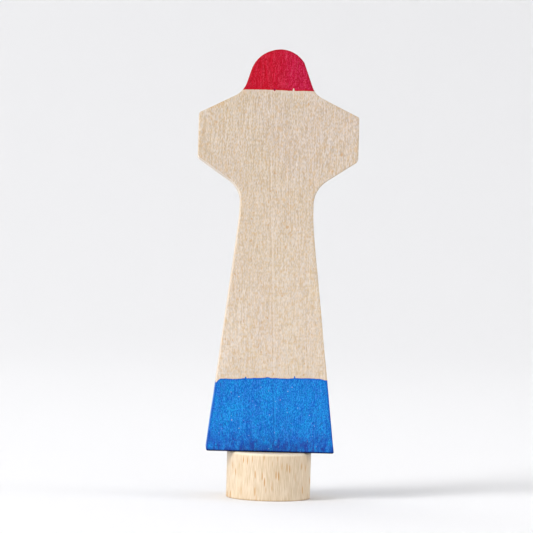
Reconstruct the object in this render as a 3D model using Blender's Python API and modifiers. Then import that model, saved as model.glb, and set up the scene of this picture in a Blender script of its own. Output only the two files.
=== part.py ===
"""Stained wooden figure board standing on a short round plug.

A flat figure is sawn from one board, its edges are rounded over, and it is
glued on end to a turned plug. A fluted dowel pin in two blind holes holds the
joint. The cap of the figure is stained red and its skirt blue.

Metres, +Z up. The origin is at the middle of the plug's foot. The front of
the figure faces -Y and its arms reach along X.
"""

import math

import bmesh
import bpy
from mathutils import Matrix

MM = 0.001

# Plug
PLUG_R = 9.0 * MM
PLUG_H = 9.85 * MM
PLUG_RIM = 0.5 * MM  # radius of the softened top and bottom rims

# Board
GAP = 0.3 * MM  # glue line between touching pieces
BOARD_T = 10.0 * MM  # thickness, front to back
EDGE_R = 0.55 * MM  # round-over along the front and back outlines
FOOT_Z = PLUG_H + GAP
TOP_Z = 95.65 * MM
CAP_R = 6.25 * MM  # radius of the domed cap
FLANK_DEG = 19.0  # lean of the cap's flanks from upright
SHOULDER_SLOPE = 0.49  # fall of the shoulder for each unit outwards
UNDERARM_SLOPE = 0.668  # rise of the underarm for each unit outwards
ARM_X = 17.0 * MM  # half the width across the arms
ARM_TOP_Z = 81.62 * MM  # corner between shoulder and arm end
ARM_LOW_Z = 72.3 * MM  # corner between arm end and underarm
WAIST_X = 7.62 * MM  # half the width at the waist
FLARE_SLOPE = 0.118  # widening of the skirt for each unit down
FOOT_X = 13.5 * MM  # half the width at the foot
NECK_FILLET = 4.4 * MM
SHOULDER_FILLET = 0.8 * MM
ARM_LOW_FILLET = 1.4 * MM
WAIST_TOP_FILLET = 6.2 * MM
WAIST_LOW_FILLET = 45.0 * MM
FOOT_FILLET = 0.8 * MM

# Stain lines
RED_FROM_Z = 86.8 * MM
BLUE_TO_Z = 25.8 * MM

# Dowel pin in its two blind holes
HOLE_R = 3.1 * MM
PIN_R = HOLE_R - GAP
PIN_FLUTES = 12
PIN_FLUTE_DEPTH = 0.25 * MM
PIN_CHAMFER = 0.6 * MM
HOLE_IN_PLUG = 7.2 * MM
HOLE_IN_BOARD = 12.5 * MM

# Fineness
ARC_STEP_DEG = 7.0
PLUG_STEPS = 72
HOLE_STEPS = 32


def clear_scene():
    for o in list(bpy.data.objects):
        bpy.data.objects.remove(o, do_unlink=True)


def collection(name):
    c = bpy.data.collections.new(name)
    bpy.context.scene.collection.children.link(c)
    return c


def material(name, rgb, roughness):
    m = bpy.data.materials.new(name)
    m.use_nodes = True
    p = m.node_tree.nodes["Principled BSDF"]
    p.inputs["Base Color"].default_value = (*rgb, 1.0)
    p.inputs["Roughness"].default_value = roughness
    p.inputs["Metallic"].default_value = 0.0
    m.diffuse_color = (*rgb, 1.0)
    return m


def crossing(p, slope_p, q, slope_q):
    """Where the line through p and the line through q meet; slopes are dz/dx."""
    x = (q[1] - p[1] + slope_p * p[0] - slope_q * q[0]) / (slope_p - slope_q)
    return (x, p[1] + slope_p * (x - p[0]))


def corners():
    """The right half of the outline, from the top centre to the foot centre, as corners with fillets."""
    cap_z = TOP_Z - CAP_R
    lean = math.radians(FLANK_DEG)
    flank = (CAP_R * math.cos(lean), cap_z + CAP_R * math.sin(lean))
    shoulder = (ARM_X, ARM_TOP_Z)
    arm_low = (ARM_X, ARM_LOW_Z)
    foot = (FOOT_X, FOOT_Z)
    neck = crossing(flank, -1.0 / math.tan(lean), shoulder, -SHOULDER_SLOPE)
    waist_top = (WAIST_X, ARM_LOW_Z - UNDERARM_SLOPE * (ARM_X - WAIST_X))
    waist_low = (WAIST_X, FOOT_Z + (FOOT_X - WAIST_X) / FLARE_SLOPE)
    cap_corner = CAP_R * math.tan((math.pi / 2 - lean) / 2)
    return [
        (0.0, TOP_Z, 0.0),
        (cap_corner, TOP_Z, CAP_R),
        (*neck, NECK_FILLET),
        (*shoulder, SHOULDER_FILLET),
        (*arm_low, ARM_LOW_FILLET),
        (*waist_top, WAIST_TOP_FILLET),
        (*waist_low, WAIST_LOW_FILLET),
        (*foot, FOOT_FILLET),
        (0.0, FOOT_Z, 0.0),
    ]


def filleted(points):
    """Points along an open chain of corners, with each inner corner turned on an arc of its own radius."""
    out = [points[0][:2]]
    for (ax, az, _), (bx, bz, r), (cx, cz, _) in zip(points, points[1:], points[2:]):
        la, lc = math.hypot(ax - bx, az - bz), math.hypot(cx - bx, cz - bz)
        ua = ((ax - bx) / la, (az - bz) / la)
        uc = ((cx - bx) / lc, (cz - bz) / lc)
        inner = math.acos(max(-1.0, min(1.0, ua[0] * uc[0] + ua[1] * uc[1])))
        turn = math.pi - inner
        reach = r / math.tan(inner / 2)
        mid = (ua[0] + uc[0], ua[1] + uc[1])
        lm = math.hypot(*mid)
        centre = (
            bx + mid[0] / lm * r / math.sin(inner / 2),
            bz + mid[1] / lm * r / math.sin(inner / 2),
        )
        start = (bx + ua[0] * reach, bz + ua[1] * reach)
        a0 = math.atan2(start[1] - centre[1], start[0] - centre[0])
        side = ua[0] * uc[1] - ua[1] * uc[0]
        sense = 1.0 if side < 0 else -1.0
        steps = max(3, math.ceil(math.degrees(turn) / ARC_STEP_DEG))
        for i in range(steps + 1):
            a = a0 + sense * turn * i / steps
            out.append((centre[0] + r * math.cos(a), centre[1] + r * math.sin(a)))
    out.append(points[-1][:2])
    return out


def full_outline():
    """The closed outline, right half then left half. The foot is one straight line, so its middle takes no point."""
    half = filleted(corners())[:-1]
    clean = [half[0]]
    for p in half[1:]:
        if math.hypot(p[0] - clean[-1][0], p[1] - clean[-1][1]) > 0.02 * MM:
            clean.append(p)
    left = [(-x, z) for x, z in reversed(clean) if x > 0.01 * MM]
    return clean + left


def curve_plate(name, points, thickness, rim, into):
    """A 2D outline of rounded edge and the given thickness, as a closed mesh in the XY plane."""
    data = bpy.data.curves.new(name + "_outline", "CURVE")
    data.dimensions = "2D"
    data.fill_mode = "BOTH"
    data.extrude = thickness / 2 - rim
    data.bevel_depth = rim
    data.bevel_resolution = 2
    data.offset = -rim
    spline = data.splines.new("POLY")
    spline.points.add(len(points) - 1)
    for p, (x, y) in zip(spline.points, points):
        p.co = (x, y, 0.0, 1.0)
    spline.use_cyclic_u = True
    flat = bpy.data.objects.new(name + "_curve", data)
    bpy.context.scene.collection.objects.link(flat)
    bpy.context.view_layer.update()
    graph = bpy.context.evaluated_depsgraph_get()
    mesh = bpy.data.meshes.new_from_object(flat.evaluated_get(graph), depsgraph=graph)
    mesh.name = name
    work = bmesh.new()
    work.from_mesh(mesh)
    bmesh.ops.remove_doubles(work, verts=work.verts, dist=0.000004)
    bmesh.ops.recalc_face_normals(work, faces=work.faces)
    work.to_mesh(mesh)
    work.free()
    made = bpy.data.objects.new(name, mesh)
    made.matrix_world = flat.matrix_world
    into.objects.link(made)
    bpy.data.objects.remove(flat, do_unlink=True)
    return made


def turned(name, profile, steps, into):
    """A solid turned about Z from a profile that runs down its outer side, top to bottom."""
    mesh = bpy.data.meshes.new(name)
    mesh.from_pydata(
        [(x, 0.0, z) for x, z in profile],
        [(i, i + 1) for i in range(len(profile) - 1)],
        [],
    )
    made = bpy.data.objects.new(name, mesh)
    into.objects.link(made)
    screw = made.modifiers.new("turn", "SCREW")
    screw.axis = "Z"
    screw.angle = math.tau
    screw.steps = steps
    screw.render_steps = steps
    screw.use_merge_vertices = True
    screw.merge_threshold = 0.00001
    screw.use_smooth_shade = True
    return made


def cut(target, cutter):
    cutter.hide_render = True
    cutter.display_type = "WIRE"
    mod = target.modifiers.new("cut_" + cutter.name, "BOOLEAN")
    mod.operation = "DIFFERENCE"
    mod.solver = "EXACT"
    mod.object = cutter


def smooth(mesh, degrees):
    mesh.shade_smooth()
    mesh.set_sharp_from_angle(angle=math.radians(degrees))


def make_board(parts, cutters, wood, red, blue):
    board = curve_plate("figure_board", full_outline(), BOARD_T, EDGE_R, parts)
    board.data.transform(Matrix.Rotation(math.pi / 2, 4, "X"))

    # The faces are split along the two stain lines, and each zone takes its colour.
    work = bmesh.new()
    work.from_mesh(board.data)
    for z in (RED_FROM_Z, BLUE_TO_Z):
        geom = work.verts[:] + work.edges[:] + work.faces[:]
        bmesh.ops.bisect_plane(
            work, geom=geom, dist=0.000001, plane_co=(0, 0, z), plane_no=(0, 0, 1)
        )
    for f in work.faces:
        z = f.calc_center_median().z
        f.material_index = 1 if z > RED_FROM_Z else 2 if z < BLUE_TO_Z else 0
    work.to_mesh(board.data)
    work.free()
    for m in (wood, red, blue):
        board.data.materials.append(m)
    smooth(board.data, 35)

    hole = turned("cut_board_hole", hole_profile(HOLE_IN_BOARD), HOLE_STEPS, cutters)
    hole.location = (0.0, 0.0, FOOT_Z)
    cut(board, hole)
    return board


def hole_profile(depth):
    """A cutter for a blind hole that starts below the face it opens on and ends in a shallow drill point."""
    over = 2.0 * MM
    return [
        (0.0, depth),
        (HOLE_R, depth - 0.8 * MM),
        (HOLE_R, -over),
        (0.0, -over),
    ]


def plug_profile():
    pts = [(0.0, PLUG_H)]
    for i in range(5):
        a = math.radians(90.0 - 22.5 * i)
        pts.append(
            (
                PLUG_R - PLUG_RIM + PLUG_RIM * math.cos(a),
                PLUG_H - PLUG_RIM + PLUG_RIM * math.sin(a),
            )
        )
    for i in range(5):
        a = math.radians(-22.5 * i)
        pts.append(
            (
                PLUG_R - PLUG_RIM + PLUG_RIM * math.cos(a),
                PLUG_RIM + PLUG_RIM * math.sin(a),
            )
        )
    pts.append((0.0, 0.0))
    return pts


def make_plug(parts, cutters, wood):
    plug = turned("plug", plug_profile(), PLUG_STEPS, parts)
    plug.data.materials.append(wood)
    hole = turned(
        "cut_plug_hole",
        [
            (0.0, 2.0 * MM),
            (HOLE_R, 2.0 * MM),
            (HOLE_R, -HOLE_IN_PLUG + 0.8 * MM),
            (0.0, -HOLE_IN_PLUG),
        ],
        HOLE_STEPS,
        cutters,
    )
    hole.location = (0.0, 0.0, PLUG_H)
    cut(plug, hole)
    return plug


def make_pin(parts, wood):
    """A fluted pin: a round outline with shallow grooves, its ends eased, standing in both holes."""
    low = PLUG_H - HOLE_IN_PLUG + 0.8 * MM + GAP
    high = FOOT_Z + HOLE_IN_BOARD - 0.8 * MM - GAP
    points = []
    for i in range(PIN_FLUTES):
        for share, depth in ((0.0, 0.0), (0.4, 0.0), (0.6, 1.0), (0.8, 1.0)):
            a = math.tau * (i + share) / PIN_FLUTES
            r = PIN_R - depth * PIN_FLUTE_DEPTH
            points.append((r * math.cos(a), r * math.sin(a)))
    pin = curve_plate("dowel_pin", points, high - low, PIN_CHAMFER, parts)
    pin.location = (0.0, 0.0, (low + high) / 2)
    pin.data.materials.append(wood)
    smooth(pin.data, 35)
    return pin


def main():
    clear_scene()
    parts = collection("stained_figure_on_plug")
    cutters = collection("cutters")
    wood = material("natural_board", (0.70, 0.55, 0.41), 0.62)
    red = material("red_stain", (0.578, 0.012, 0.042), 0.55)
    blue = material("blue_stain", (0.02, 0.16, 0.54), 0.55)
    beech = material("beech", (0.83, 0.64, 0.43), 0.6)
    pin_wood = material("pin_beech", (0.70, 0.50, 0.32), 0.6)
    make_board(parts, cutters, wood, red, blue)
    make_plug(parts, cutters, beech)
    make_pin(parts, pin_wood)
    bpy.context.view_layer.update()


main()
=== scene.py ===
"""Looks for the stained wooden figure board on its plug.

The board, the plug and the pin are solid wood. The stains are part of the
board's own surface. Metres, in the CAD frame; lengths in the helpers below
are given in millimetres and scaled once, at the end.
"""

import math

import bmesh
import bpy
import numpy as np
from mathutils import Matrix, Vector, geometry, kdtree


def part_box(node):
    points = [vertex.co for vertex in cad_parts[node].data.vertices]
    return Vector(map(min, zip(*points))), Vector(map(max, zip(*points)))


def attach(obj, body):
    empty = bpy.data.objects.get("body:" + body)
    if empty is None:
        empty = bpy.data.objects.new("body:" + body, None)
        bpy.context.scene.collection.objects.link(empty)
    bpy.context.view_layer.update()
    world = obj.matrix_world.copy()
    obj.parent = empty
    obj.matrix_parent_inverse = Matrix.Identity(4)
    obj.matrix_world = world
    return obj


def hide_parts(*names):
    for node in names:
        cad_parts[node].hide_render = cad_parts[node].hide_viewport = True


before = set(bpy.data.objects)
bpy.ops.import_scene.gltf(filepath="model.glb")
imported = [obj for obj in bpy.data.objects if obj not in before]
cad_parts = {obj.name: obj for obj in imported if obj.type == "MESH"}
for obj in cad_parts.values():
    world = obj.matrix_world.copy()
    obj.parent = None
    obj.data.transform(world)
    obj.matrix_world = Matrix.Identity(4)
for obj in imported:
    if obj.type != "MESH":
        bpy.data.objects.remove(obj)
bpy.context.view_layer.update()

MM = 0.001

# ---------------------------------------------------------------- places read from the frame
board_lo, board_hi = (np.array(c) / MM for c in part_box("figure_board"))
plug_lo, plug_hi = (np.array(c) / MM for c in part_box("plug"))
pin_lo, pin_hi = (np.array(c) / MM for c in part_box("dowel_pin"))

THICK = board_hi[1] - board_lo[1]
TOP_Z = board_hi[2] - 0.1
JOINT_Z = (plug_hi[2] + board_lo[2]) / 2  # where board and plug meet
PLUG_R = (plug_hi[0] - plug_lo[0]) / 2
HOLE_R = (pin_hi[0] - pin_lo[0]) / 2 + 0.3
HOLE_LOW = pin_lo[2] - 0.3
HOLE_HIGH = pin_hi[2] + 0.3

BOARD_X = (board_lo[0] + board_hi[0]) / 2
PLUG_X = (plug_lo[0] + plug_hi[0]) / 2
GLUE = 0.02  # half of the hairline joint between board and plug

# ---------------------------------------------------------------- smooth noise on arrays


def hashed(ix, iy, iz, seed):
    n = (
        ix.astype(np.uint32) * np.uint32(374761393)
        + iy.astype(np.uint32) * np.uint32(668265263)
        + iz.astype(np.uint32) * np.uint32(2246822519)
        + np.uint32((seed * 3266489917) & 0xFFFFFFFF)
    )
    n = (n ^ (n >> np.uint32(13))) * np.uint32(1274126177)
    n = n ^ (n >> np.uint32(16))
    return (n & np.uint32(0xFFFFFF)).astype(float) / float(0xFFFFFF) * 2 - 1


def noise(p, seed=0):
    """Smooth value noise from -1 to 1 at points p, with a cell of 1."""
    p = np.asarray(p, float)
    i = np.floor(p).astype(np.int64)
    f = p - i
    u = f * f * f * (f * (f * 6 - 15) + 10)
    out = 0.0
    for a in (0, 1):
        wx = u[:, 0] if a else 1 - u[:, 0]
        for b in (0, 1):
            wy = u[:, 1] if b else 1 - u[:, 1]
            for c in (0, 1):
                wz = u[:, 2] if c else 1 - u[:, 2]
                h = hashed(i[:, 0] + a, i[:, 1] + b, i[:, 2] + c, seed)
                out = out + wx * wy * wz * h
    return out


def noise1(s, seed=0):
    s = np.asarray(s, float)
    return noise(np.stack([s, s * 0 + 0.37, s * 0 + 0.71], -1), seed)


# ---------------------------------------------------------------- outline of the board


def crossing(p, slope_p, q, slope_q):
    x = (q[1] - p[1] + slope_p * p[0] - slope_q * q[0]) / (slope_p - slope_q)
    return (x, p[1] + slope_p * (x - p[0]))


def filleted(points, step):
    """Points along an open chain of (x, z, fillet radius) corners, on arcs and straights no coarser than step."""
    out = [points[0][:2]]

    def line_to(q):
        p = out[-1]
        n = max(1, math.ceil(math.hypot(q[0] - p[0], q[1] - p[1]) / step))
        for i in range(1, n + 1):
            out.append((p[0] + (q[0] - p[0]) * i / n, p[1] + (q[1] - p[1]) * i / n))

    for (ax, az, _), (bx, bz, r), (cx, cz, _) in zip(points, points[1:], points[2:]):
        la, lc = math.hypot(ax - bx, az - bz), math.hypot(cx - bx, cz - bz)
        ua = ((ax - bx) / la, (az - bz) / la)
        uc = ((cx - bx) / lc, (cz - bz) / lc)
        inner = math.acos(max(-1.0, min(1.0, ua[0] * uc[0] + ua[1] * uc[1])))
        turn = math.pi - inner
        reach = r / math.tan(inner / 2)
        mid = (ua[0] + uc[0], ua[1] + uc[1])
        lm = math.hypot(*mid)
        centre = (
            bx + mid[0] / lm * r / math.sin(inner / 2),
            bz + mid[1] / lm * r / math.sin(inner / 2),
        )
        start = (bx + ua[0] * reach, bz + ua[1] * reach)
        if math.hypot(start[0] - out[-1][0], start[1] - out[-1][1]) > 1e-3:
            line_to(start)
        a0 = math.atan2(start[1] - centre[1], start[0] - centre[0])
        side = ua[0] * uc[1] - ua[1] * uc[0]
        sense = 1.0 if side < 0 else -1.0
        n = max(4, math.ceil(r * turn / step), math.ceil(math.degrees(turn) / 9))
        for i in range(1, n + 1):
            a = a0 + sense * turn * i / n
            out.append((centre[0] + r * math.cos(a), centre[1] + r * math.sin(a)))
    line_to(points[-1][:2])
    return out


def half_corners(
    cap_r, flank_deg, cap_break, shoulder, shoulder_slope, arm_x, arm_low,
    under_slope, waist_x, flare, foot_x, fillets,
):
    """One half of the figure, top centre to foot centre. cap_break is a slight corner sanded on the cap, or None."""
    neck_r, shoulder_r, low_r, waist_r, waist_low_r, foot_r = fillets
    lean = math.radians(flank_deg)
    if cap_break is None:
        zc = TOP_Z - cap_r
        flank = (cap_r * math.cos(lean), zc + cap_r * math.sin(lean))
        chain = [
            (0.0, TOP_Z, 0.0),
            (cap_r * math.tan((math.pi / 2 - lean) / 2), TOP_Z, cap_r),
        ]
    else:
        bx, bz, br, tangent_deg = cap_break
        ta = math.radians(tangent_deg)
        kx = bx - (TOP_Z - bz) * math.tan(ta)
        chain = [
            (0.0, TOP_Z, 0.0),
            (kx, TOP_Z, kx / math.tan((math.pi / 2 - ta) / 2) * 0.999),
            (bx, bz, br),
        ]
        flank = (bx, bz)
    neck = crossing(flank, -1.0 / math.tan(lean), (arm_x, shoulder), -shoulder_slope)
    return chain + [
        (*neck, neck_r),
        (arm_x, shoulder, shoulder_r),
        (arm_x, arm_low, low_r),
        (waist_x, arm_low - under_slope * (arm_x - waist_x), waist_r),
        (waist_x, JOINT_Z + (foot_x - waist_x) / flare, waist_low_r),
        (foot_x, JOINT_Z + GLUE, foot_r),
        (0.0, JOINT_Z + GLUE, 0.0),
    ]


def board_outline(step):
    """The closed outline as an array of (x, z), sawn and sanded by hand, so not quite the same on both sides."""
    right = filleted(
        half_corners(
            6.0, 20.0, (5.07, 92.8, 1.1, 36.0), 81.58, 0.477, 17.03, 72.14,
            0.667, 7.79, 0.1190, 13.60, (4.2, 0.60, 1.4, 6.2, 45.0, 0.36),
        ),
        step,
    )
    left = filleted(
        half_corners(
            6.55, 17.5, None, 81.66, 0.507, 17.03, 72.4,
            0.676, 7.68, 0.1180, 13.65, (5.0, 0.62, 1.0, 5.8, 40.0, 0.42),
        ),
        step,
    )
    loop = [p for p in right[:-1]] + [(-x, z) for x, z in reversed(left[1:])]
    pts = np.array(loop)
    keep = [0]
    for i in range(1, len(pts)):
        if np.hypot(*(pts[i] - pts[keep[-1]])) > 0.05:
            keep.append(i)
    pts = pts[keep]
    pts[:, 0] += BOARD_X
    return pts


def closed_normals(pts):
    """Outward unit normals of a closed clockwise outline in (x, z)."""
    d = np.roll(pts, -1, 0) - np.roll(pts, 1, 0)
    d /= np.linalg.norm(d, axis=1)[:, None]
    n = np.stack([-d[:, 1], d[:, 0]], -1)
    area = np.sum(pts[:, 0] * np.roll(pts[:, 1], -1) - np.roll(pts[:, 0], -1) * pts[:, 1])
    return n if area < 0 else -n


def inside(points, loop):
    x, z = points[:, 0], points[:, 1]
    hit = np.zeros(len(points), bool)
    a, b = loop, np.roll(loop, -1, 0)
    for (ax, az), (bx, bz) in zip(a, b):
        if az == bz:
            continue
        spans = (az > z) != (bz > z)
        hit ^= spans & (x < (bx - ax) * (z - az) / (bz - az) + ax)
    return hit


def tree_of(points):
    t = kdtree.KDTree(len(points))
    for i, (x, z) in enumerate(points):
        t.insert((x, z, 0.0), i)
    t.balance()
    return t


def build_board():
    outline = board_outline(0.34)
    n = len(outline)
    normal = closed_normals(outline)
    arc = np.concatenate([[0], np.cumsum(np.hypot(*(np.diff(outline, axis=0)).T))])
    # Belt sanding leaves the sawn outline very slightly wavy, and the foot, which is glued, is flat.
    free = np.clip((outline[:, 1] - JOINT_Z - 0.3) / 1.5, 0, 1)
    wave = 0.035 * noise1(arc / 7.0, 3) + 0.02 * noise1(arc / 2.3, 4)
    outline = outline + normal * (wave * free)[:, None]

    sides = []
    for seed in (11, 12):
        r = 0.27 + 0.07 * noise1(arc / 6.0, seed) + 0.03 * noise1(arc / 1.9, seed + 5)
        sides.append(np.clip(r, 0.18, 0.38))
    arc_steps, wall_steps = 5, 17
    half = THICK / 2

    rows = []  # (inset along -normal, y) for each outline point, front to back
    for k in range(arc_steps):
        phi = math.pi / 2 * k / arc_steps
        r = sides[0]
        rows.append((r * (1 - math.sin(phi)), -(half - r) - r * math.cos(phi)))
    for k in range(wall_steps + 1):
        t = k / wall_steps
        y = -(half - sides[0]) * (1 - t) + (half - sides[1]) * t
        rows.append((np.zeros(n), y))
    for k in range(1, arc_steps + 1):
        phi = math.pi / 2 * (1 - k / arc_steps)
        r = sides[1]
        rows.append((r * (1 - math.sin(phi)), (half - r) + r * math.cos(phi)))

    verts = []
    for inset, y in rows:
        p = outline - normal * np.asarray(inset)[:, None]
        verts.append(np.stack([p[:, 0], np.asarray(y) + np.zeros(n), p[:, 1]], -1))
    k_rows = len(verts)
    co = np.concatenate(verts)
    faces = []
    for k in range(k_rows - 1):
        a = k * n
        b = (k + 1) * n
        for i in range(n):
            j = (i + 1) % n
            faces.append((a + i, a + j, b + j, b + i))

    # Both broad faces are filled with an even net of points.
    pitch = 0.58
    for k, flip in ((0, False), (k_rows - 1, True)):
        loop = co[k * n : (k + 1) * n][:, (0, 2)]
        lo, hi = loop.min(0), loop.max(0)
        net = []
        row = 0
        z = lo[1]
        while z < hi[1]:
            x = lo[0] + (pitch / 2 if row % 2 else 0)
            while x < hi[0]:
                net.append((x, z))
                x += pitch
            z += pitch * math.sqrt(3) / 2
            row += 1
        net = np.array(net)
        net = net[inside(net, loop)]
        t = tree_of(loop)
        net = net[[t.find((x, zz, 0.0))[2] > 0.36 for x, zz in net]]
        all2 = np.concatenate([loop, net])
        out_v, _, out_f, orig_v, _, _ = geometry.delaunay_2d_cdt(
            [Vector((float(x), float(zz))) for x, zz in all2],
            [(i, (i + 1) % n) for i in range(n)],
            [],
            1,
            1e-6,
        )
        base = len(co)
        y = co[k * n, 1]
        index = []
        new = []
        for i, v in enumerate(out_v):
            src = orig_v[i]
            if src and src[0] < n:
                index.append(k * n + src[0])
            else:
                index.append(base + len(new))
                new.append((v[0], y, v[1]))
        co = np.concatenate([co, np.array(new)])
        for f in out_f:
            tri = tuple(index[i] for i in f)
            faces.append(tri[::-1] if flip else tri)

    mesh = bpy.data.meshes.new("figure_board_wood")
    mesh.from_pydata(co.tolist(), [], faces)
    b = bmesh.new()
    b.from_mesh(mesh)
    bmesh.ops.recalc_face_normals(b, faces=b.faces)
    if b.calc_volume(signed=True) < 0:
        bmesh.ops.reverse_faces(b, faces=b.faces)
    b.to_mesh(mesh)
    b.free()

    co = np.zeros(len(mesh.vertices) * 3)
    mesh.vertices.foreach_get("co", co)
    co = co.reshape(-1, 3)
    nor = np.zeros(len(mesh.vertices) * 3)
    mesh.vertices.foreach_get("normal", nor)
    nor = nor.reshape(-1, 3)
    free = np.clip((co[:, 2] - JOINT_Z - 0.3) / 1.5, 0, 1)
    relief = (
        0.022 * noise(co / (9.0, 9.0, 16.0), 21)
        + 0.007 * noise(co / (0.9, 1.1, 7.0), 22)
        + 0.004 * noise(co / (0.62, 0.62, 2.4), 23)
    )
    # Cap top and shoulders are end grain, which sands a little rougher.
    end = np.abs(nor[:, 2]) ** 2
    relief += end * 0.012 * noise(co / 0.8, 24)
    # A few handling dents, each a shallow dimple.
    rng = np.random.default_rng(7)
    for _ in range(26):
        x, z = rng.uniform(-15, 15), rng.uniform(14, 93)
        y = rng.choice([-half, half])
        r, depth = rng.uniform(0.5, 1.1), rng.uniform(0.01, 0.035)
        d = np.sqrt(((co - (x, y, z)) ** 2 / (r * r, 4, r * r * 1.8)).sum(1))
        relief -= depth * np.clip(1 - d, 0, 1) ** 2
    co = co + nor * (relief * free)[:, None]
    mesh.vertices.foreach_set("co", (co * MM).ravel())
    mesh.update()

    board = bpy.data.objects.new("board", mesh)
    bpy.context.scene.collection.objects.link(board)

    # The blind hole for the pin.
    cutter = turned(
        "hole_cutter",
        [
            (0.0, HOLE_HIGH + 0.8),
            (HOLE_R, HOLE_HIGH),
            (HOLE_R, JOINT_Z - 2.0),
            (0.0, JOINT_Z - 2.0),
        ],
        48,
    )
    cut = board.modifiers.new("pin_hole", "BOOLEAN")
    cut.operation = "DIFFERENCE"
    cut.solver = "MANIFOLD"
    cut.object = cutter
    bake_modifiers(board)
    bpy.data.objects.remove(cutter, do_unlink=True)

    # How far each point is from the sharp outline: 1 on the rounded edge, 0 on the faces and walls.
    mesh = board.data
    co = np.zeros(len(mesh.vertices) * 3, np.float32)
    mesh.vertices.foreach_get("co", co)
    co = co.reshape(-1, 3) / MM
    t = tree_of(outline)
    edge = np.zeros(len(co), np.float32)
    rim = np.zeros(len(co), np.float32)
    for i, (x, y, z) in enumerate(co):
        d = t.find((x, z, 0.0))[2]
        rim[i] = d
        depth = half - abs(y)
        edge[i] = max(0.0, 1.0 - max(d, 0.0) / 0.9) * max(0.0, 1.0 - max(depth, 0.0) / 0.9)
    mesh.attributes.new("edge", "FLOAT", "POINT").data.foreach_set("value", edge)
    mesh.attributes.new("rim", "FLOAT", "POINT").data.foreach_set("value", rim)
    mesh.shade_smooth()
    mesh.set_sharp_from_angle(angle=math.radians(55))
    return board


def bake_modifiers(obj):
    """Replaces an object's mesh with its evaluated one."""
    bpy.context.view_layer.update()
    graph = bpy.context.evaluated_depsgraph_get()
    mesh = bpy.data.meshes.new_from_object(
        obj.evaluated_get(graph), preserve_all_data_layers=True, depsgraph=graph
    )
    obj.modifiers.clear()
    old = obj.data
    obj.data = mesh
    mesh.name = obj.name + "_mesh"
    if old.users == 0:
        bpy.data.meshes.remove(old)


def turned(name, profile, steps, shift=None, relief=None, around=None):
    """A closed mesh turned about Z from (radius, z) points in mm, top to bottom. Ends on the axis. shift gives each ring's centre in x."""
    rings = [p for p in profile]
    co, faces = [], []
    starts = []
    for k, (r, z) in enumerate(rings):
        cx = shift[k] if shift is not None else 0.0
        starts.append(len(co))
        if r < 1e-6:
            co.append((cx, 0.0, z))
            continue
        for i in range(steps):
            a = math.tau * i / steps
            co.append((cx + r * math.cos(a), r * math.sin(a), z))
    for k in range(len(rings) - 1):
        ra, rb = rings[k][0], rings[k + 1][0]
        a, b = starts[k], starts[k + 1]
        for i in range(steps):
            j = (i + 1) % steps
            if ra < 1e-6:
                faces.append((a, b + i, b + j))
            elif rb < 1e-6:
                faces.append((a + i, b, a + j))
            else:
                faces.append((a + i, b + i, b + j, a + j))
    co = np.array(co)
    if relief is not None:
        co = relief(co)
    mesh = bpy.data.meshes.new(name)
    mesh.from_pydata((co * MM).tolist(), [], faces)
    b = bmesh.new()
    b.from_mesh(mesh)
    bmesh.ops.recalc_face_normals(b, faces=b.faces)
    if b.calc_volume(signed=True) < 0:
        bmesh.ops.reverse_faces(b, faces=b.faces)
    b.to_mesh(mesh)
    b.free()
    obj = bpy.data.objects.new(name, mesh)
    bpy.context.scene.collection.objects.link(obj)
    return obj


def build_plug():
    """A turned plug with softened rims and the blind hole for the pin."""
    top, rim, foot = JOINT_Z - GLUE, 0.42, 0.20
    profile, shift = [], []

    def add(r, z, s):
        profile.append((r, z))
        shift.append(s)

    add(0.0, HOLE_LOW - 0.8, 0.0)
    for r in (1.0, 2.0):
        add(r, HOLE_LOW - 0.8 + 0.8 * r / HOLE_R, 0.0)
    for k in range(9):
        add(HOLE_R, HOLE_LOW + (top - HOLE_LOW) * k / 8, 0.0)
    for k in range(1, 10):
        t = k / 9
        add(HOLE_R + (PLUG_R - rim - HOLE_R) * t, top, PLUG_X * t)
    for k in range(1, 6):
        a = math.pi / 2 * (1 - k / 5)
        add(PLUG_R - rim + rim * math.cos(a), top - rim + rim * math.sin(a), PLUG_X)
    for k in range(1, 24):
        add(PLUG_R, top - rim - (top - rim - foot) * k / 24, PLUG_X)
    for k in range(0, 6):
        a = -math.pi / 2 * k / 5
        add(PLUG_R - foot + foot * math.cos(a), foot + foot * math.sin(a), PLUG_X)
    for k in range(1, 12):
        add((PLUG_R - foot) * (1 - k / 12), 0.0, PLUG_X)
    add(0.0, 0.0, PLUG_X)

    def relief(co):
        out = co.copy()
        x, y, z = co[:, 0] - PLUG_X, co[:, 1], co[:, 2]
        r = np.hypot(x, y)
        wall = np.clip((r - PLUG_R + rim) / rim, 0, 1)
        th = np.arctan2(y, x)
        ring = np.stack([np.cos(th) * 6, np.sin(th) * 6, z / 3.0], -1)
        bump = 0.02 * noise(ring, 31) + 0.006 * noise(
            np.stack([np.cos(th) * 22, np.sin(th) * 22, z / 4.0], -1), 32
        )
        # fine turning marks round the plug
        bump += 0.0035 * np.sin(z * math.tau / 0.8)
        keep = wall * np.clip(z / 0.15, 0, 1)
        k = 1 + keep * bump / np.maximum(r, 1e-3)
        out[:, 0] = PLUG_X + x * k
        out[:, 1] = y * k
        return out

    plug = turned("plug_wood", profile, 180, shift, relief)
    plug.data.shade_smooth()
    plug.data.set_sharp_from_angle(angle=math.radians(50))
    return plug


# ---------------------------------------------------------------- materials

FRONT_LIGHT = 1.28  # brightness of a white card that faces the camera


def lin(r, g, b):
    """The base colour that shows as this display colour under the studio light."""
    out = []
    for v in (r, g, b):
        v = v / 255.0
        v = v / 12.92 if v <= 0.04045 else ((v + 0.055) / 1.055) ** 2.4
        out.append(v / FRONT_LIGHT)
    return (*out, 1.0)


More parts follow.
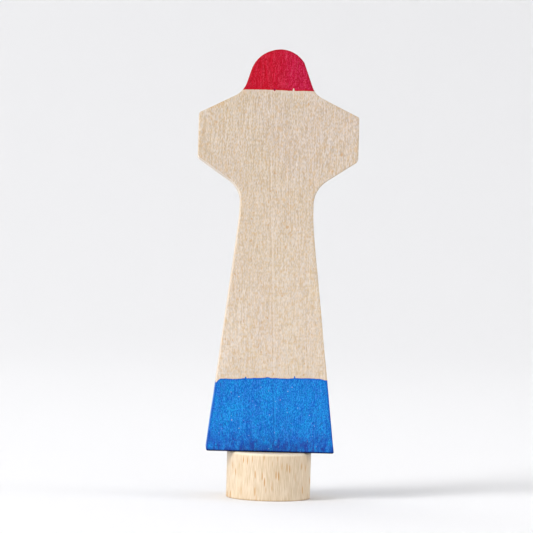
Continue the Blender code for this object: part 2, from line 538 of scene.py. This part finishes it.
def plain(name, rgba, rough):
    m = bpy.data.materials.new(name)
    m.use_nodes = True
    p = m.node_tree.nodes["Principled BSDF"]
    p.inputs["Base Color"].default_value = rgba
    p.inputs["Roughness"].default_value = rough
    return m


class Graph:
    """A material's node tree. The calls add nodes and give back their output sockets. Lengths are in mm."""

    def __init__(self, name):
        self.material = bpy.data.materials.new(name)
        self.material.use_nodes = True
        self.tree = self.material.node_tree
        self.shader = self.tree.nodes["Principled BSDF"]
        coords = self.tree.nodes.new("ShaderNodeTexCoord")
        self.normal = coords.outputs["Normal"]
        k = 1 / MM
        self.at = self.place(coords.outputs["Object"], (k, k, k))

    def put(self, socket, value):
        if isinstance(value, bpy.types.NodeSocket):
            self.tree.links.new(value, socket)
        else:
            socket.default_value = value

    def place(self, vector, by, shift=(0.0, 0.0, 0.0)):
        n = self.tree.nodes.new("ShaderNodeVectorMath")
        n.operation = "MULTIPLY_ADD"
        for socket, value in zip(n.inputs, (vector, by, shift)):
            self.put(socket, value)
        return n.outputs["Vector"]

    def length(self, vector):
        n = self.tree.nodes.new("ShaderNodeVectorMath")
        n.operation = "LENGTH"
        self.put(n.inputs[0], vector)
        return n.outputs["Value"]

    def math(self, op, a, b=0.0, c=0.0, clamp=False):
        n = self.tree.nodes.new("ShaderNodeMath")
        n.operation = op
        n.use_clamp = clamp
        for socket, value in zip(n.inputs, (a, b, c)):
            self.put(socket, value)
        return n.outputs[0]

    def total(self, *terms):
        out = terms[0]
        for t in terms[1:]:
            out = self.math("ADD", out, t)
        return out

    def product(self, *terms):
        out = terms[0]
        for t in terms[1:]:
            out = self.math("MULTIPLY", out, t)
        return out

    def axes(self, vector):
        n = self.tree.nodes.new("ShaderNodeSeparateXYZ")
        self.put(n.inputs[0], vector)
        return n.outputs[0], n.outputs[1], n.outputs[2]

    def joined(self, x, y, z):
        n = self.tree.nodes.new("ShaderNodeCombineXYZ")
        for socket, value in zip(n.inputs, (x, y, z)):
            self.put(socket, value)
        return n.outputs[0]

    def window(self, value, lo, hi, to=1.0):
        """A smooth step from 0 at lo to `to` at hi."""
        n = self.tree.nodes.new("ShaderNodeMapRange")
        n.interpolation_type = "SMOOTHSTEP"
        self.put(n.inputs["Value"], value)
        n.inputs["From Min"].default_value = lo
        n.inputs["From Max"].default_value = hi
        n.inputs["To Min"].default_value = 0.0
        n.inputs["To Max"].default_value = to
        return n.outputs[0]

    def noise(self, at, per_mm, seed, detail=2.0, rough=0.5):
        """Noise from 0 to 1 with so many cells per millimetre along X, Y and Z."""
        n = self.tree.nodes.new("ShaderNodeTexNoise")
        n.noise_dimensions = "3D"
        self.put(n.inputs["Vector"], self.place(at, per_mm, (seed, seed * 1.71, seed * 2.37)))
        n.inputs["Scale"].default_value = 1.0
        n.inputs["Detail"].default_value = detail
        n.inputs["Roughness"].default_value = rough
        return n.outputs[0]

    def cells(self, at, per_mm, seed):
        """Distance to the nearest cell centre, and a random number for each cell."""
        n = self.tree.nodes.new("ShaderNodeTexVoronoi")
        n.voronoi_dimensions = "3D"
        n.feature = "F1"
        self.put(n.inputs["Vector"], self.place(at, per_mm, (seed, seed * 1.71, seed * 2.37)))
        n.inputs["Scale"].default_value = 1.0
        r, _, _ = self.axes(n.outputs["Color"])
        return n.outputs["Distance"], r

    def blend(self, factor, a, b, mode="MIX"):
        n = self.tree.nodes.new("ShaderNodeMix")
        n.data_type = "RGBA"
        n.blend_type = mode
        self.put(n.inputs[0], factor)
        self.put(n.inputs[6], a)
        self.put(n.inputs[7], b)
        return n.outputs[2]

    def tint(self, factor, colour, rgb):
        return self.blend(factor, colour, (*rgb, 1.0), "MULTIPLY")

    def attribute(self, name):
        n = self.tree.nodes.new("ShaderNodeAttribute")
        n.attribute_type = "GEOMETRY"
        n.attribute_name = name
        return n.outputs["Fac"]

    def spots(self, at, marks):
        """Soft oval spots on the front face, each (x, z, half width, half height, strength)."""
        out = None
        for cx, cz, rx, rz, strength in marks:
            d = self.length(self.place(at, (1 / rx, 0, 1 / rz), (-cx / rx, 0, -cz / rz)))
            one = self.window(d, 1.25, 0.35, strength)
            out = one if out is None else self.math("MAXIMUM", out, one)
        return out

    def finish(self, colour, rough, height, relief, specular):
        """relief is the bump's full height in mm."""
        self.put(self.shader.inputs["Base Color"], colour)
        self.put(self.shader.inputs["Roughness"], rough)
        self.shader.inputs["Specular IOR Level"].default_value = specular
        bump = self.tree.nodes.new("ShaderNodeBump")
        bump.inputs["Strength"].default_value = 1.0
        bump.inputs["Distance"].default_value = relief * MM
        self.put(bump.inputs["Height"], height)
        self.put(self.shader.inputs["Normal"], bump.outputs["Normal"])
        return self.material


def board_wood():
    """Close-grained pale hardwood, bare in the middle, with a red stain on the cap and a blue one on the foot."""
    g = Graph("board_wood")
    x, y, z = g.axes(g.at)
    front = g.window(y, -4.0, -4.6)
    edge = g.attribute("edge")
    nx, ny, nz = g.axes(g.normal)
    end = g.math("POWER", g.math("ABSOLUTE", nz), 2.0)

    # The fibres run up the board and wander a little.
    drift = g.noise(g.at, (0.05, 0.05, 0.022), 3.0, 1.0)
    side = g.math("MULTIPLY_ADD", drift, 1.2, -0.6)
    at = g.joined(g.math("ADD", x, side), g.math("ADD", y, side), z)

    short = g.noise(at, (7.0, 7.0, 1.9), 17.0, 0.0)
    long = g.noise(at, (5.6, 5.6, 0.26), 19.0, 0.0)
    fine = g.window(g.math("MULTIPLY_ADD", short, 0.68, g.product(long, 0.47)), 0.36, 0.79)
    grit = g.noise(at, (7.2, 7.2, 3.2), 29.0, 0.0)
    coarse = g.window(g.math("MULTIPLY_ADD", grit, 0.85, g.product(long, 0.25)), 0.36, 0.74)
    fibre = g.noise(at, (2.2, 2.2, 0.40), 11.0, 2.0, 0.6)
    strand = g.noise(at, (0.8, 0.8, 0.07), 23.0, 3.0, 0.6)
    broad = g.noise(at, (0.10, 0.10, 0.05), 37.0, 2.0)
    warm = g.noise(at, (0.22, 0.22, 0.07), 41.0, 2.0)
    tan = g.window(g.noise(at, (1.35, 1.35, 0.80), 53.0, 2.0, 0.5), 0.54, 0.68)
    dash = g.window(g.noise(at, (4.2, 4.2, 0.95), 67.0, 0.0), 0.64, 0.80)
    dark = g.window(g.noise(at, (3.8, 3.8, 0.75), 71.0, 0.0), 0.66, 0.82)
    cross = g.product(
        g.window(g.noise(at, (0.55, 0.55, 2.4), 79.0, 2.0), 0.58, 0.72),
        g.window(z, 70.0, 45.0),
    )
    # Faint growth rings about a pith well behind the board.
    away = g.length(g.place(at, (1.0, 1.0, 0.0), (9.0, -34.0, 0.0)))
    ring = g.math("SINE", g.math("MULTIPLY_ADD", away, 2.3, g.math("MULTIPLY", broad, 9.0)))

    # Painted light: the bare wood is painted lighter towards the foot, for the floor's bounce light.
    wood = g.blend(g.window(z, 84.0, 26.0), lin(213, 197, 180), lin(232, 216, 198))
    wood = g.blend(g.window(warm, 0.35, 0.65, 0.40), wood, lin(225, 208, 195))
    wood = g.blend(g.window(broad, 0.35, 0.65, 0.35), wood, lin(221, 204, 178))
    wood = g.tint(g.window(ring, -1.0, 1.0, 0.25), wood, (0.95, 0.93, 0.90))
    wood = g.tint(g.window(strand, 0.58, 0.36, 0.30), wood, (0.95, 0.92, 0.87))
    wood = g.tint(g.window(fibre, 0.62, 0.34, 0.22), wood, (0.93, 0.90, 0.85))
    fade = g.window(z, 95.0, 20.0, 0.35)
    wood = g.blend(
        fine,
        g.tint(g.math("SUBTRACT", 1.0, fade), wood, (0.857, 0.80, 0.71)),
        g.tint(g.math("SUBTRACT", 1.0, fade), wood, (1.14, 1.185, 1.25)),
    )
    # Some fibres lean warm and others cool at the same lightness.
    hue = g.window(g.noise(at, (3.6, 3.6, 1.5), 149.0, 1.0), 0.34, 0.66)
    wood = g.blend(hue, g.tint(1.0, wood, (1.03, 0.99, 0.92)), g.tint(1.0, wood, (0.97, 1.005, 1.08)))
    wood = g.blend(g.product(tan, 0.48), wood, lin(217, 181, 137))
    wood = g.blend(g.product(cross, 0.45), wood, lin(216, 190, 152))
    wood = g.blend(g.product(dark, 0.40), wood, lin(184, 158, 132))
    wood = g.blend(g.product(dash, 0.45), wood, lin(246, 236, 228))
    # Sparse warm marks.
    marks = g.window(g.noise(at, (1.5, 1.5, 0.85), 151.0, 1.0), 0.69, 0.80, 0.7)
    wood = g.blend(marks, wood, lin(210, 164, 114))
    # One long pore line runs up the front, dark with a pale lip on its right.
    along = g.total(x, -1.27, g.product(z, 0.0434))
    broken = g.math("ADD", 0.35, g.window(g.noise(g.at, (0.0, 0.0, 0.7), 137.0, 2.0), 0.38, 0.54, 0.65))
    broken = g.product(front, broken, g.window(z, 79.0, 74.0))
    pore_line = g.product(broken, g.window(g.math("ABSOLUTE", along), 0.17, 0.05))
    pale_line = g.product(broken, g.window(g.math("ABSOLUTE", g.math("SUBTRACT", along, 0.40)), 0.17, 0.05))
    wood = g.blend(g.product(pore_line, 0.42), wood, lin(200, 168, 132))
    wood = g.blend(g.product(pale_line, 0.35), wood, lin(246, 234, 220))
    # Painted light: the sawn edge walls are painted paler than the front, most of all under the arms, for the floor's
    # bounce light.
    wall = g.window(g.math("ABSOLUTE", ny), 0.75, 0.30)
    under = g.window(nz, -0.10, -0.45)
    wood = g.blend(g.product(wall, g.math("MULTIPLY_ADD", under, 0.38, 0.30)), wood, lin(254, 243, 228))
    # Sanded edges have warmed a little, and end grain is darker.
    wood = g.tint(g.product(g.window(edge, 0.35, 0.95, 0.5), g.math("MULTIPLY_ADD", under, -0.8, 1.0)), wood, (0.98, 0.93, 0.86))
    wood = g.tint(g.product(end, g.window(nz, -0.3, 0.1, 0.6)), wood, (0.95, 0.92, 0.87))

    # Both stains were brushed to a line and follow the fibres for a hair's breadth.
    wet = g.math("MULTIPLY_ADD", g.noise(g.at, (0.35, 0.35, 0.0), 83.0, 2.0), 0.9, -0.45)
    hair = g.math("MULTIPLY_ADD", g.noise(g.at, (2.2, 2.2, 0.25), 89.0, 2.0), 0.34, -0.17)
    ragged = g.total(wet, hair)

    slope = g.math("MULTIPLY_ADD", x, -0.0014, 0.024)
    line = g.math("MULTIPLY_ADD", slope, x, 25.76)
    line = g.total(line, g.product(ragged, 0.55))
    line = g.math("SUBTRACT", line, g.window(x, -10.9, -12.0, 0.75))
    line = g.math("SUBTRACT", line, g.window(x, 10.2, 11.4, 0.22))
    runs = g.product(front, g.spots(g.joined(x, 0.0, 0.0), (
        (-5.61, 0.0, 0.20, 1.0, 0.34), (-0.94, 0.0, 0.50, 1.0, 0.16), (4.78, 0.0, 0.15, 1.0, 0.50),
    )))
    above = g.math("SUBTRACT", z, g.math("ADD", line, runs))
    blue_on = g.window(above, 0.07, -0.07)
    lip = g.window(above, -0.55, -0.05)
    halo = g.product(g.window(above, 0.75, 0.10), g.math("SUBTRACT", 1.0, blue_on))

    low = g.window(z, 15.5, 10.6)
    patch = g.noise(at, (0.62, 0.62, 0.30), 97.0, 1.0, 0.5)
    mottle = g.noise(at, (3.8, 3.8, 2.2), 101.0, 1.0, 0.6)
    streak = g.noise(at, (3.0, 3.0, 0.30), 103.0, 2.0, 0.6)
    blue = g.blend(g.window(patch, 0.28, 0.72), lin(21, 121, 214), lin(18, 139, 226))
    blue = g.blend(g.window(streak, 0.48, 0.70, 0.24), blue, lin(18, 152, 233))
    blue = g.blend(g.window(mottle, 0.57, 0.74, 0.40), blue, lin(24, 84, 188))
    blue = g.blend(coarse, g.tint(1.0, blue, (0.0, 0.56, 0.78)), g.tint(1.0, blue, (3.5, 1.40, 1.145)))
    blue = g.blend(hue, g.tint(1.0, blue, (0.6, 1.07, 0.965)), g.tint(1.0, blue, (1.5, 0.935, 1.03)))
    blue = g.blend(g.product(pore_line, 0.55), blue, lin(18, 84, 176))
    blue = g.blend(g.product(pale_line, 0.45), blue, lin(30, 164, 240))
    heavy = g.product(low, g.window(g.noise(at, (0.9, 0.9, 0.5), 107.0, 3.0, 0.6), 0.36, 0.62))
    blue = g.blend(g.product(heavy, 0.66), blue, lin(30, 66, 172))
    blue = g.blend(g.product(g.window(g.noise(at, (2.6, 2.6, 1.3), 109.0, 1.0), 0.62, 0.74), 0.6), blue, lin(40, 62, 158))
    pooled = g.product(low, g.window(g.noise(at, (2.0, 2.0, 0.75), 139.0, 2.0, 0.6), 0.50, 0.62))
    blue = g.blend(g.product(pooled, 0.62), blue, lin(40, 52, 144))
    blue = g.blend(g.product(lip, 0.75), blue, lin(2, 82, 194))
    blue = g.tint(g.window(edge, 0.35, 0.90, 0.9), blue, (0.50, 0.56, 0.78))
    # Painted shade, with some darker stain: a near-black line along the foot of the board, in the joint with the plug.
    blue = g.tint(g.window(z, 10.42, 10.20, 0.95), blue, (0.12, 0.08, 0.12))
    blue = g.tint(g.product(end, 0.4), blue, (0.7, 0.75, 0.85))
    bare = g.window(g.noise(at, (3.4, 3.4, 2.2), 113.0, 0.0), 0.81, 0.89, 0.8)
    blue = g.blend(bare, blue, lin(212, 208, 226))

    top = g.math("SUBTRACT", z, g.total(86.82, g.product(ragged, 0.35)))
    nick = g.product(front, g.spots(g.joined(x, 0.0, 0.0), ((2.86, 0.0, 0.20, 1.0, 0.55),)))
    drip = g.product(front, g.spots(g.joined(x, 0.0, 0.0), ((-1.16, 0.0, 0.22, 1.0, 0.22),)))
    over = g.math("ADD", g.math("SUBTRACT", top, nick), drip)
    red_on = g.window(over, -0.07, 0.07)
    hem = g.window(over, 0.60, 0.05)
    glow = g.product(g.window(over, -0.75, -0.10), g.math("SUBTRACT", 1.0, red_on))
    red = g.blend(g.window(x, -3.0, 5.5), lin(198, 2, 34), lin(195, 9, 62))
    red = g.blend(g.window(streak, 0.40, 0.70, 0.45), red, lin(208, 28, 70))
    red = g.blend(coarse, g.tint(1.0, red, (0.76, 0.02, 0.38)), g.tint(1.0, red, (1.14, 5.6, 1.9)))
    red = g.tint(g.window(mottle, 0.55, 0.72, 0.6), red, (0.86, 0.6, 0.7))
    red = g.blend(g.product(dash, 0.16), red, lin(226, 100, 124))
    red = g.blend(g.product(hem, 0.75), red, lin(194, 2, 26))
    red = g.tint(g.window(edge, 0.35, 0.95, 0.9), red, (0.88, 0.65, 0.65))
    red = g.tint(g.product(end, 0.6), red, (0.80, 0.65, 0.65))
    red = g.blend(g.product(front, g.spots(g.at, ((-1.16, 86.95, 0.2, 0.24, 0.8),))), red, lin(90, 20, 84))

    shade = g.blend(g.product(halo, 0.45), wood, lin(236, 208, 172))
    shade = g.blend(g.product(glow, 0.40), shade, lin(234, 214, 194))
    shade = g.blend(blue_on, shade, blue)
    shade = g.blend(red_on, shade, red)

    stained = g.math("MAXIMUM", blue_on, red_on)
    rough = g.total(
        0.60,
        g.math("MULTIPLY_ADD", fibre, 0.16, -0.08),
        g.math("MULTIPLY_ADD", broad, 0.14, -0.07),
        g.product(stained, -0.10),
        g.product(edge, -0.06),
        g.product(end, 0.08),
    )
    height = g.total(
        g.product(fibre, 0.55),
        g.product(strand, 0.35),
        g.product(fine, 0.22),
        g.product(dark, -0.18),
        g.product(marks, -0.15),
        g.product(g.noise(g.at, (3.0, 3.0, 3.0), 131.0, 2.0), g.product(end, 0.5)),
    )
    return g.finish(shade, rough, height, 0.05, 0.10)


def beech(name, axis_x, seed, tone):
    """Steamed beech with its grain upright. Its rays are thin lenses that run from the pith, which lies behind, along Y."""
    g = Graph(name)
    x, y, z = g.axes(g.at)
    local = g.joined(g.math("SUBTRACT", x, axis_x), y, z)
    drift = g.noise(local, (0.09, 0.09, 0.04), seed + 1.0, 1.0)
    bend = g.math("MULTIPLY_ADD", drift, 1.2, -0.6)
    at = g.joined(g.math("ADD", g.math("SUBTRACT", x, axis_x), bend), y, z)

    fine = g.window(g.noise(at, (6.2, 6.2, 0.42), seed + 7.0, 1.0), 0.30, 0.70)
    fibre = g.noise(at, (2.4, 2.4, 0.22), seed + 11.0, 2.0, 0.6)
    strand = g.noise(at, (0.7, 0.7, 0.05), seed + 13.0, 3.0, 0.6)
    broad = g.noise(at, (0.14, 0.14, 0.05), seed + 17.0, 2.0)
    away = g.length(g.place(at, (1.0, 1.0, 0.0), (4.0, -26.0, 0.0)))
    ring = g.math("SINE", g.math("MULTIPLY_ADD", away, 2.6, g.math("MULTIPLY", broad, 6.0)))
    d, chance = g.cells(at, (1 / 0.50, 1 / 4.2, 1 / 4.1), seed + 19.0)
    ray = g.product(g.window(d, 0.31, 0.15), g.window(chance, -0.5, 0.8, 1.0))
    d2, chance2 = g.cells(at, (1 / 0.42, 1 / 2.4, 1 / 2.6), seed + 29.0)
    small = g.product(g.window(d2, 0.26, 0.12), g.window(chance2, 0.35, 1.0, 0.42))
    pore = g.window(g.noise(at, (5.5, 5.5, 0.7), seed + 31.0, 1.0), 0.66, 0.76)

    r, gr, b = tone
    wood = g.blend(g.window(broad, 0.35, 0.65, 0.6), lin(r, gr, b), lin(r + 3, gr - 1, b - 7))
    wood = g.tint(g.window(ring, -1.0, 1.0, 0.5), wood, (0.965, 0.94, 0.91))
    wood = g.tint(g.window(strand, 0.60, 0.36, 0.7), wood, (0.95, 0.925, 0.88))
    wood = g.tint(g.window(fibre, 0.60, 0.34, 0.35), wood, (0.95, 0.93, 0.90))
    wood = g.blend(fine, g.tint(1.0, wood, (0.885, 0.845, 0.77)), g.tint(1.0, wood, (1.095, 1.115, 1.18)))
    wood = g.tint(g.product(pore, 0.5), wood, (0.90, 0.85, 0.78))
    wood = g.blend(small, wood, lin(r - 16, gr - 38, b - 62))
    wood = g.blend(ray, wood, lin(r - 27, gr - 64, b - 104))
    return g, wood, fibre, strand, ray, pore, z


def plug_wood():
    g, wood, fibre, strand, ray, pore, z = beech("plug_beech", PLUG_X, 200.0, (239, 219, 190))
    nx, ny, nz = g.axes(g.normal)
    end = g.math("POWER", g.math("ABSOLUTE", nz), 2.0)
    wood = g.tint(g.product(end, 0.5), wood, (0.95, 0.91, 0.85))
    # Painted shade: the plug is painted darker along its foot, where it meets the floor.
    wood = g.tint(g.window(z, 0.45, 0.10, 0.8), wood, (0.88, 0.80, 0.70))
    # Painted highlight: the top rim of the plug is painted lighter, most of all at its outer edge.
    rim = g.length(g.place(g.at, (1.0, 1.0, 0.0), (-PLUG_X, 0.0, 0.0)))
    top_rim_highlight = g.product(g.window(z, 9.30, 9.70), g.math("ADD", 0.25, g.window(rim, 7.5, 8.4, 0.75)))
    wood = g.blend(g.product(top_rim_highlight, 0.72), wood, lin(254, 240, 212))
    turned_marks = g.math("SINE", g.product(z, 9.0))
    rough = g.total(
        0.44,
        g.math("MULTIPLY_ADD", fibre, 0.14, -0.07),
        g.product(ray, 0.10),
        g.product(end, 0.12),
    )
    height = g.total(
        g.product(fibre, 0.45),
        g.product(strand, 0.3),
        g.product(ray, -0.25),
        g.product(pore, -0.25),
        g.product(turned_marks, 0.06),
    )
    return g.finish(wood, rough, height, 0.04, 0.55)


def pin_wood():
    g, wood, fibre, strand, ray, pore, z = beech("pin_beech", 0.0, 300.0, (226, 198, 160))
    rough = g.math("MULTIPLY_ADD", fibre, 0.16, 0.50)
    height = g.total(g.product(fibre, 0.5), g.product(pore, -0.3), g.product(ray, -0.2))
    return g.finish(wood, rough, height, 0.04, 0.3)


board = build_board()
plug = build_plug()
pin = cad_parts["dowel_pin"]
for obj, material in ((board, board_wood()), (plug, plug_wood()), (pin, pin_wood())):
    obj.data.materials.clear()
    obj.data.materials.append(material)

for piece, node, slot in (
    (board, "figure_board", "natural_board"),
    (plug, "plug", "beech_plug"),
):
    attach(piece, "root")
    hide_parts(node)

# ---------------------------------------------------------------- stage, light and camera


def make_stage():
    """A pale floor that sweeps up all round."""
    pts = [(0.0, 0.0)]
    flat, bend, top = 800.0, 3000.0, 3600.0
    for k in range(1, 12):
        pts.append((flat * k / 11, 0.0))
    for k in range(1, 25):
        a = math.pi / 2 * k / 24
        pts.append((flat + bend * math.sin(a), bend * (1 - math.cos(a))))
    pts.append((flat + bend, top))
    steps = 96
    co, faces = [(0.0, 0.0, 0.0)], []
    for r, z in pts[1:]:
        for i in range(steps):
            a = math.tau * i / steps
            co.append((r * math.cos(a), r * math.sin(a), z))
    for i in range(steps):
        faces.append((0, 1 + i, 1 + (i + 1) % steps))
    for k in range(len(pts) - 2):
        a, b = 1 + k * steps, 1 + (k + 1) * steps
        for i in range(steps):
            j = (i + 1) % steps
            faces.append((a + i, b + i, b + j, a + j))
    mesh = bpy.data.meshes.new("studio_floor")
    mesh.from_pydata((np.array(co) * MM).tolist(), [], faces)
    mesh.update()
    mesh.shade_smooth()
    obj = bpy.data.objects.new("studio_floor", mesh)
    bpy.context.scene.collection.objects.link(obj)
    mesh.materials.append(plain("pale_paper", (0.80, 0.80, 0.81, 1.0), 0.9))
    return obj


def area(name, at, to, size, power, colour=(1, 1, 1)):
    data = bpy.data.lights.new(name, "AREA")
    data.shape = "RECTANGLE"
    data.size, data.size_y = size
    data.energy = power
    data.color = colour
    obj = bpy.data.objects.new(name, data)
    bpy.context.scene.collection.objects.link(obj)
    obj.location = at
    obj.rotation_euler = (
        (Vector(to) - Vector(at)).to_track_quat("-Z", "Y").to_euler()
    )
    obj.visible_camera = False
    return obj


make_stage()


def around(azimuth, elevation, reach):
    """A place that many degrees round from -X towards -Y, and up."""
    a, e = math.radians(azimuth), math.radians(elevation)
    return (
        -reach * math.cos(e) * math.cos(a),
        -reach * math.cos(e) * math.sin(a),
        reach * math.sin(e),
    )


area("key", around(40, 30, 2.6), (0, 0, 0.04), (0.8, 0.8), 24.6)
area("key_side", around(32, 30, 2.6), (0, 0, 0.04), (0.8, 0.8), 15.5)
area("key_high", around(27, 45, 2.6), (0, 0, 0.04), (0.5, 0.5), 10.0)
area("left_low", around(4, 7, 2.6), (0, 0, 0.05), (1.0, 1.0), 9.0)
area("right", around(175, 15, 2.6), (0, 0, 0.04), (1.2, 1.2), 27.5)
area("back", (-1.3, 1.6, 2.4), (-0.3, 1.7, 0.0), (1.8, 1.8), 11.0)

world = bpy.data.worlds.new("soft_room")
world.use_nodes = True
world.node_tree.nodes["Background"].inputs["Color"].default_value = (1, 1, 1, 1)
world.node_tree.nodes["Background"].inputs["Strength"].default_value = 0.68
bpy.context.scene.world = world

bpy.context.scene.view_settings.view_transform = "Standard"
bpy.context.scene.view_settings.look = "None"

YAW = math.radians(2.0)
ROLL = math.radians(1.6)
EYE = Vector((-1.67, -488.0, 49.4)) * MM
turn = Matrix.Rotation(-YAW, 4, "Z")
right = Vector((math.cos(ROLL), 0.0, math.sin(ROLL)))
up = Vector((-math.sin(ROLL), 0.0, math.cos(ROLL)))
back = Vector((0.0, -1.0, 0.0))
camera_data = bpy.data.cameras.new("camera")
camera_data.sensor_width = 36.0
camera_data.lens = 2277.0 / 533.0 * 36.0
camera_data.clip_start = 0.01
camera_data.clip_end = 20.0
camera = bpy.data.objects.new("camera", camera_data)
bpy.context.scene.collection.objects.link(camera)
camera.matrix_world = (
    turn
    @ Matrix.Translation(EYE)
    @ Matrix((right, up, back)).transposed().to_4x4()
)
bpy.context.scene.camera = camera
